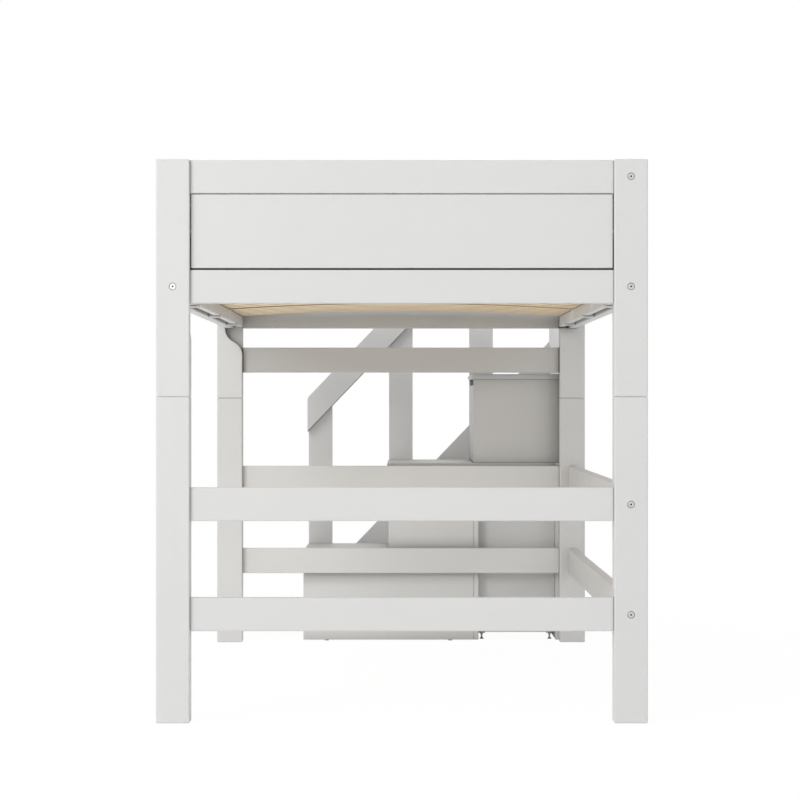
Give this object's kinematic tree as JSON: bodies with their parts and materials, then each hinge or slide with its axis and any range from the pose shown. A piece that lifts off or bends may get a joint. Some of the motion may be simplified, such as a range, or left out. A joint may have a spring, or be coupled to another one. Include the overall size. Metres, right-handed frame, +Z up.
{
  "type": "high bed with storage stair",
  "caption": "Painted wooden high bed on split posts with guard panels and an arched slat base, and a stair at one end with a drawer under each step, a niche and a banister.",
  "frame": {"origin": "on the floor, in the middle of the footprint of the bed and its stair", "axes": "+Z up, +Y along the bed towards the end with the stair, +X towards the high end of the stair"},
  "size_m": [1.32, 2.6098, 1.514],
  "materials": {
    "white_paint": "satin white paint on wood",
    "birch": "clear lacquered bent plywood",
    "zinc": "zinc plated, dull"
  },
  "bodies": {
    "frame": {"lower_post_near_left": "white_paint", "lower_post_near_right": "white_paint", "lower_post_far_left": "white_paint", "lower_post_far_right": "white_paint", "upper_post_near_left": "white_paint", "upper_post_near_right": "white_paint", "upper_post_far_left": "white_paint", "upper_post_far_right": "white_paint", "near_low_rail": "white_paint", "near_mid_rail": "white_paint", "near_bed_rail": "white_paint", "near_top_rail": "white_paint", "near_panel": "white_paint", "far_low_rail": "white_paint", "far_mid_rail": "white_paint", "far_stair_rail": "white_paint", "far_bed_rail": "white_paint", "far_top_rail": "white_paint", "far_panel": "white_paint", "far_guard_upright": "white_paint", "left_bed_rail": "white_paint", "left_top_rail": "white_paint", "left_panel": "white_paint", "right_bed_rail": "white_paint", "right_top_rail": "white_paint", "right_mid_rail": "white_paint", "right_low_rail": "white_paint", "right_panel": "white_paint", "left_ledger": "white_paint", "right_ledger": "white_paint", "slat_section_1": "birch", "slat_section_2": "birch", "slat_section_3": "birch", "stair_side_near": "white_paint", "stair_side_far": "white_paint", "stair_floor": "white_paint", "stair_divider": "white_paint", "stair_back_panel": "white_paint", "top_box_side_near": "white_paint", "top_box_side_far": "white_paint", "tread_1": "white_paint", "tread_2": "white_paint", "tread_3": "white_paint", "cupboard_floor": "white_paint", "cupboard_wall": "white_paint", "levelling_foot_near_left": "zinc", "levelling_foot_near_right": "zinc", "levelling_foot_far_left": "zinc", "levelling_foot_far_right": "zinc", "upright_1": "white_paint", "upright_2": "white_paint", "upright_3": "white_paint", "upright_4": "white_paint", "handrail": "white_paint", "landing_rail": "white_paint", "stringer": "white_paint"},
    "drawer_low": {"drawer_1": "white_paint"},
    "drawer_middle": {"drawer_2": "white_paint"},
    "drawer_high": {"drawer_3": "white_paint"}
  },
  "joints": [
    {"name": "drawer_low_slide", "type": "slide", "parent": "frame", "child": "drawer_low", "axis": [-1, 0, 0], "range_m": [0, 0.45]},
    {"name": "drawer_middle_slide", "type": "slide", "parent": "frame", "child": "drawer_middle", "axis": [-1, 0, 0], "range_m": [0, 0.22]},
    {"name": "drawer_high_slide", "type": "slide", "parent": "frame", "child": "drawer_high", "axis": [-1, 0, 0], "range_m": [0, 0.21]}
  ]
}
